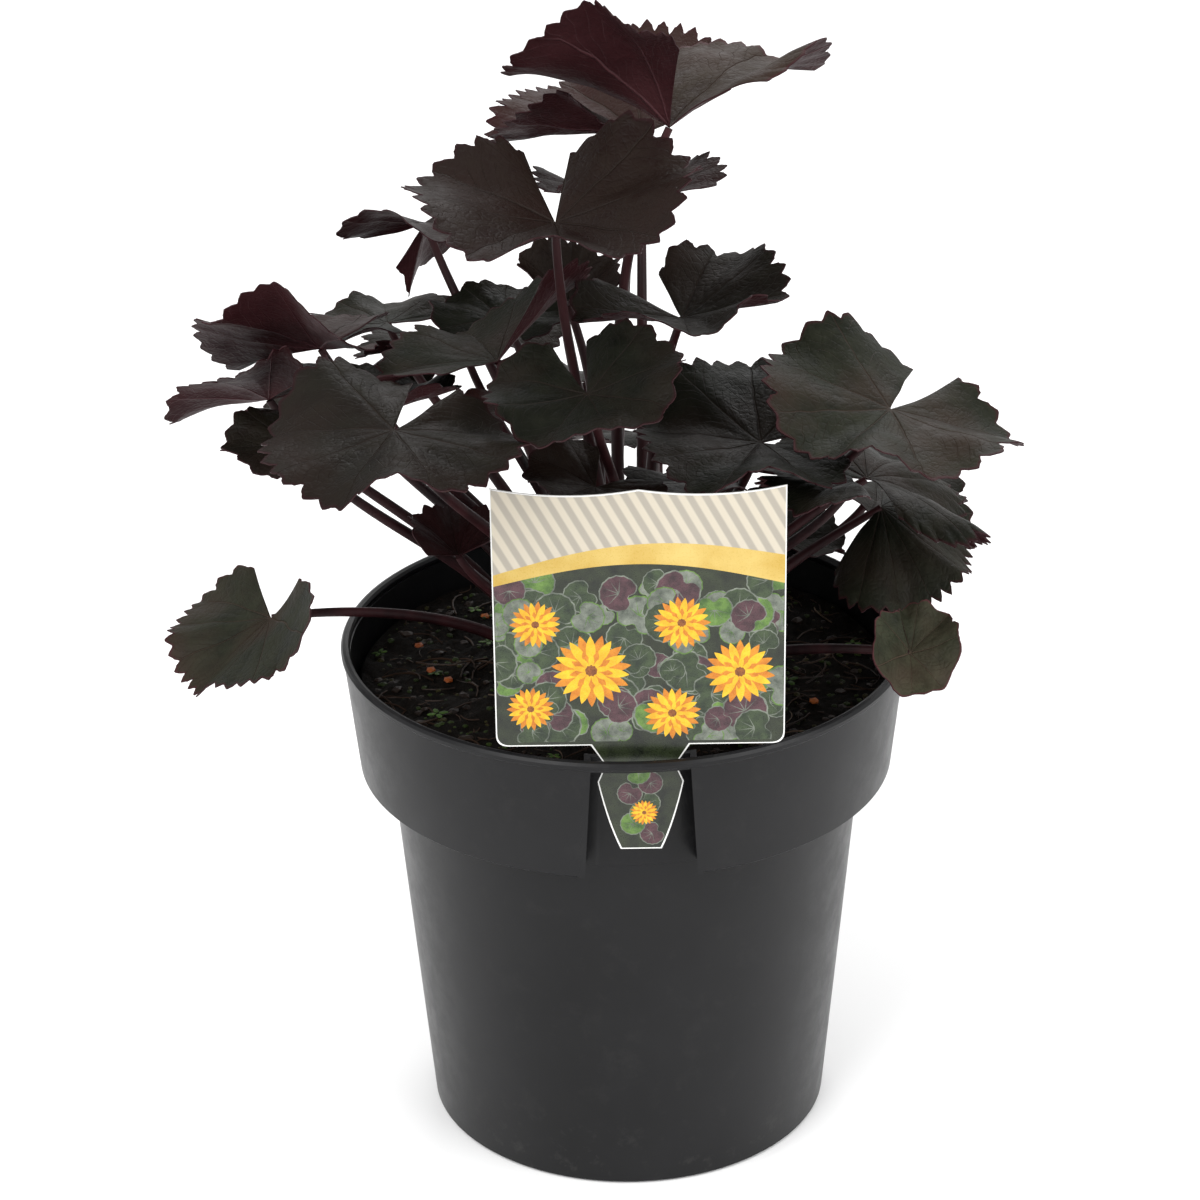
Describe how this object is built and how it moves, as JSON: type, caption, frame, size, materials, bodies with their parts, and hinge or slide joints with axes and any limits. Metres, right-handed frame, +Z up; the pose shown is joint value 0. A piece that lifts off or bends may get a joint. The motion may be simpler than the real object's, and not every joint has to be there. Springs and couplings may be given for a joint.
{
  "type": "potted leopard plant",
  "caption": "Leopard plant with round toothed dark leaves on long stalks, in a tapered nursery pot with a deep collar and a T-shaped plant label.",
  "frame": {"origin": "middle of the pot's flat base", "axes": "+Z up along the pot's axis, -Y towards the label on the front of the pot, +X to the right seen from the front"},
  "size_m": [0.2795, 0.2766, 0.3956],
  "materials": {
    "pot": "satin charcoal",
    "soil": "damp peat compost",
    "crown": "matte root crown",
    "label": "printed gloss plastic",
    "leaf": "satin, dark bronze green above and purple below"
  },
  "bodies": {
    "root": {"pot": "pot", "soil": "soil", "crown": "crown", "label": "label", "leaf_01": "leaf", "leaf_02": "leaf", "leaf_03": "leaf", "leaf_04": "leaf", "leaf_05": "leaf", "leaf_06": "leaf", "leaf_07": "leaf", "leaf_08": "leaf", "leaf_09": "leaf", "leaf_10": "leaf", "leaf_11": "leaf", "leaf_12": "leaf", "leaf_13": "leaf", "leaf_14": "leaf", "leaf_15": "leaf", "leaf_16": "leaf", "leaf_17": "leaf", "leaf_18": "leaf", "leaf_19": "leaf", "leaf_20": "leaf", "leaf_21": "leaf", "leaf_22": "leaf", "leaf_23": "leaf", "leaf_24": "leaf", "leaf_25": "leaf", "leaf_26": "leaf", "leaf_27": "leaf", "leaf_28": "leaf", "leaf_29": "leaf", "leaf_30": "leaf", "leaf_31": "leaf", "leaf_32": "leaf", "leaf_33": "leaf", "leaf_34": "leaf", "leaf_35": "leaf"}
  },
  "joints": []
}
